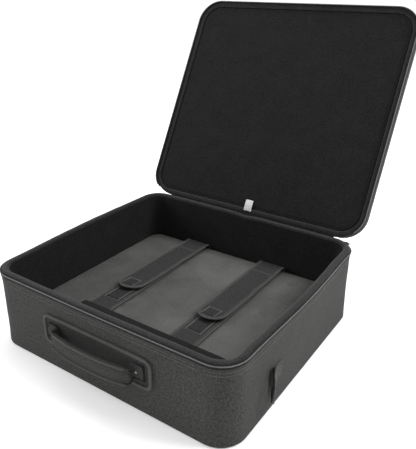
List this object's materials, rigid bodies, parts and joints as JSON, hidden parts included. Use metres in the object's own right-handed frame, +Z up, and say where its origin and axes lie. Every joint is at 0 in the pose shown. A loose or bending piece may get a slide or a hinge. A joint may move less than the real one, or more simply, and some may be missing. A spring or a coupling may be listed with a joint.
{
  "type": "miniature carry case",
  "caption": "Soft padded zip case with hinged lid, front carry handle, side D-rings and strapped pad over foam for tabletop miniatures.",
  "frame": {"origin": "centre of the tub's underside, where the case rests", "axes": "+X to the right along the front wall, +Y from the handle towards the hinge, +Z up"},
  "size_m": [0.4678, 0.6274, 0.4888],
  "materials": {
    "cover": "coarse woven polyester, matt",
    "lining": "short plush",
    "rim_plush": "short plush",
    "foam": "closed-cell foam",
    "grey_suede": "brushed suede cloth",
    "strap": "woven cloth with bound edges",
    "hook_tape": "hook and loop tape",
    "webbing": "ribbed webbing",
    "binding": "folded binding tape",
    "grip_cover": "padded woven cloth",
    "zip_tape": "herringbone tape",
    "zip_coil": "nylon coil",
    "black_metal": "gloss black plating",
    "rivet_metal": "nickel",
    "board": "moulded board",
    "label": "white satin tape"
  },
  "bodies": {
    "tub": {"tub_bottom_panel": "cover", "tub_side_cover": "cover", "tub_base_board": "board", "tub_wall_foam": "foam", "tub_wall_lining": "lining", "tub_floor_lining": "lining", "tub_rim_cap": "rim_plush", "tub_zip_tape": "zip_tape", "tub_zip_coil": "zip_coil", "zip_stops": "black_metal", "hinge_cloth_tub": "cover", "foam_tray": "foam", "pad_core": "foam", "pad_cover": "grey_suede", "front_divider": "foam", "rear_strap_anchors": "strap", "front_strap_anchors": "strap", "handle_plate": "cover", "handle_plate_binding": "binding", "handle_backing": "board", "handle_tabs": "grip_cover", "handle_rivets": "rivet_metal", "rivet_washers": "rivet_metal", "ring_tab_left": "webbing", "ring_tab_right": "webbing"},
    "lid": {"lid_top_panel": "cover", "lid_side_cover": "cover", "lid_foam_board": "foam", "lid_stiffener": "board", "lid_rim_roll": "rim_plush", "lid_piping": "binding", "lid_lining_panel": "lining", "lid_zip_tape": "zip_tape", "lid_zip_coil": "zip_coil", "hinge_cloth_lid": "cover", "care_label": "label"},
    "rear_strap_left_flap": {"rear_strap_left": "strap", "hook_patch_left": "hook_tape"},
    "rear_strap_right_flap": {"rear_strap_right": "strap", "hook_patch_right": "hook_tape"},
    "front_strap_left_flap": {"front_strap_left": "strap", "loop_patch_left": "hook_tape"},
    "front_strap_right_flap": {"front_strap_right": "strap", "loop_patch_right": "hook_tape"},
    "grip": {"handle_grip": "grip_cover"},
    "ring_left": {"d_ring_left": "black_metal"},
    "ring_right": {"d_ring_right": "black_metal"},
    "slider_left": {"zip_slider_left": "black_metal"},
    "slider_right": {"zip_slider_right": "black_metal"},
    "pull_left": {"zip_pull_left": "black_metal"},
    "pull_right": {"zip_pull_right": "black_metal"}
  },
  "joints": [
    {"name": "lid_hinge", "type": "hinge", "parent": "tub", "child": "lid", "pos_m": [0, 0.198, 0.1345], "axis": [-1, 0, 0], "range_deg": [-118.8, 0]},
    {"name": "rear_strap_left_peel", "type": "hinge", "parent": "tub", "child": "rear_strap_left_flap", "pos_m": [-0.09, 0.1755, 0.05595], "axis": [-1, 0, 0], "range_deg": [0, 85]},
    {"name": "front_strap_left_lift", "type": "hinge", "parent": "tub", "child": "front_strap_left_flap", "pos_m": [-0.09, -0.163, 0.05155], "axis": [1, 0, 0], "range_deg": [0, 22]},
    {"name": "rear_strap_right_peel", "type": "hinge", "parent": "tub", "child": "rear_strap_right_flap", "pos_m": [0.072, 0.1755, 0.05595], "axis": [-1, 0, 0], "range_deg": [0, 85]},
    {"name": "front_strap_right_lift", "type": "hinge", "parent": "tub", "child": "front_strap_right_flap", "pos_m": [0.072, -0.163, 0.05155], "axis": [1, 0, 0], "range_deg": [0, 22]},
    {"name": "grip_flex", "type": "hinge", "parent": "tub", "child": "grip", "pos_m": [0, -0.209, 0.0635], "axis": [1, 0, 0], "range_deg": [-10, 10]},
    {"name": "ring_left_swing", "type": "hinge", "parent": "tub", "child": "ring_left", "pos_m": [-0.21905, -0.097, 0.047], "axis": [0, 0, -1], "range_deg": [-28, 120]},
    {"name": "zip_left_run", "type": "hinge", "parent": "tub", "child": "slider_left", "pos_m": [-0.177, 0.159, 0.124], "axis": [0, 0, 1], "range_deg": [0, 55]},
    {"name": "pull_left_swing", "type": "hinge", "parent": "slider_left", "child": "pull_left", "pos_m": [-0.1986, 0.19641, 0.124], "axis": [0.866, 0.5, 0], "range_deg": [0, 45]},
    {"name": "ring_right_swing", "type": "hinge", "parent": "tub", "child": "ring_right", "pos_m": [0.21905, -0.097, 0.047], "axis": [0, 0, 1], "range_deg": [-28, 120]},
    {"name": "zip_right_run", "type": "hinge", "parent": "tub", "child": "slider_right", "pos_m": [0.177, 0.159, 0.124], "axis": [0, 0, -1], "range_deg": [0, 55]},
    {"name": "pull_right_swing", "type": "hinge", "parent": "slider_right", "child": "pull_right", "pos_m": [0.1986, 0.19641, 0.124], "axis": [0.866, -0.5, 0], "range_deg": [0, 45]}
  ],
  "couplings": [
    {"joint": "front_strap_left_lift", "follows": "rear_strap_left_peel", "ratio": 0.25},
    {"joint": "front_strap_right_lift", "follows": "rear_strap_right_peel", "ratio": 0.25}
  ]
}
